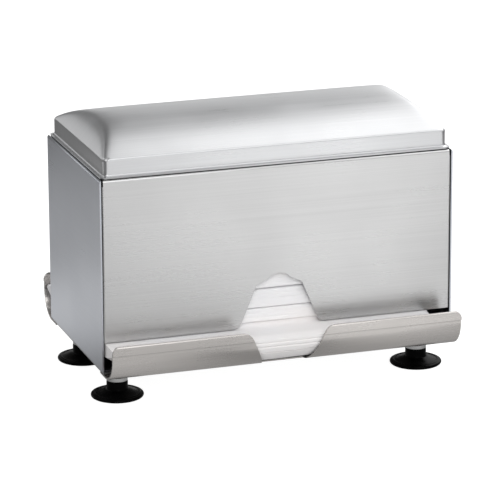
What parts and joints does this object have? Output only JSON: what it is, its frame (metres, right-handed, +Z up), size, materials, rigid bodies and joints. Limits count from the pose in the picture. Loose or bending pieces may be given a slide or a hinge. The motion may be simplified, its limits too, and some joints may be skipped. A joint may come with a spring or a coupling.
{
  "type": "napkin dispenser",
  "caption": "Two-sided countertop napkin dispenser in brushed steel with a lift-off vaulted lid, curled troughs with thumb cut-outs and suction-cup feet.",
  "frame": {"origin": "centre of the footprint, on the surface that the suction cups stand on", "axes": "+X along the width, -Y towards the front, +Z up"},
  "size_m": [0.1902, 0.1322, 0.1404],
  "materials": {
    "brushed_steel": "satin brushed stainless steel, grain along the width",
    "inner_steel": "plain mill finish stainless steel",
    "collar_steel": "bright turned steel",
    "fastener_steel": "plated steel fasteners",
    "black_rubber": "glossy moulded black rubber",
    "napkin_tissue": "soft white folded tissue"
  },
  "bodies": {
    "housing": {"side_panel_left": "brushed_steel", "side_panel_right": "brushed_steel", "front_panel": "brushed_steel", "rear_panel": "brushed_steel", "base_plate": "inner_steel", "front_trough": "brushed_steel", "rear_trough": "brushed_steel", "napkin_rest": "inner_steel", "rest_rivets": "fastener_steel", "foot_collars": "collar_steel", "foot_studs": "fastener_steel", "foot_nuts": "fastener_steel", "suction_cup_front_left": "black_rubber", "suction_cup_front_right": "black_rubber", "suction_cup_rear_left": "black_rubber", "suction_cup_rear_right": "black_rubber", "napkins_bottom": "napkin_tissue", "napkins_second": "napkin_tissue", "napkins_third": "napkin_tissue", "napkins_fourth": "napkin_tissue", "napkins_top": "napkin_tissue"},
    "lid": {"lid_shell": "brushed_steel", "lid_skirt": "inner_steel"}
  },
  "joints": [
    {"name": "lid_lift", "type": "slide", "parent": "housing", "child": "lid", "axis": [0, 0, 1], "range_m": [0, 0.11]}
  ]
}
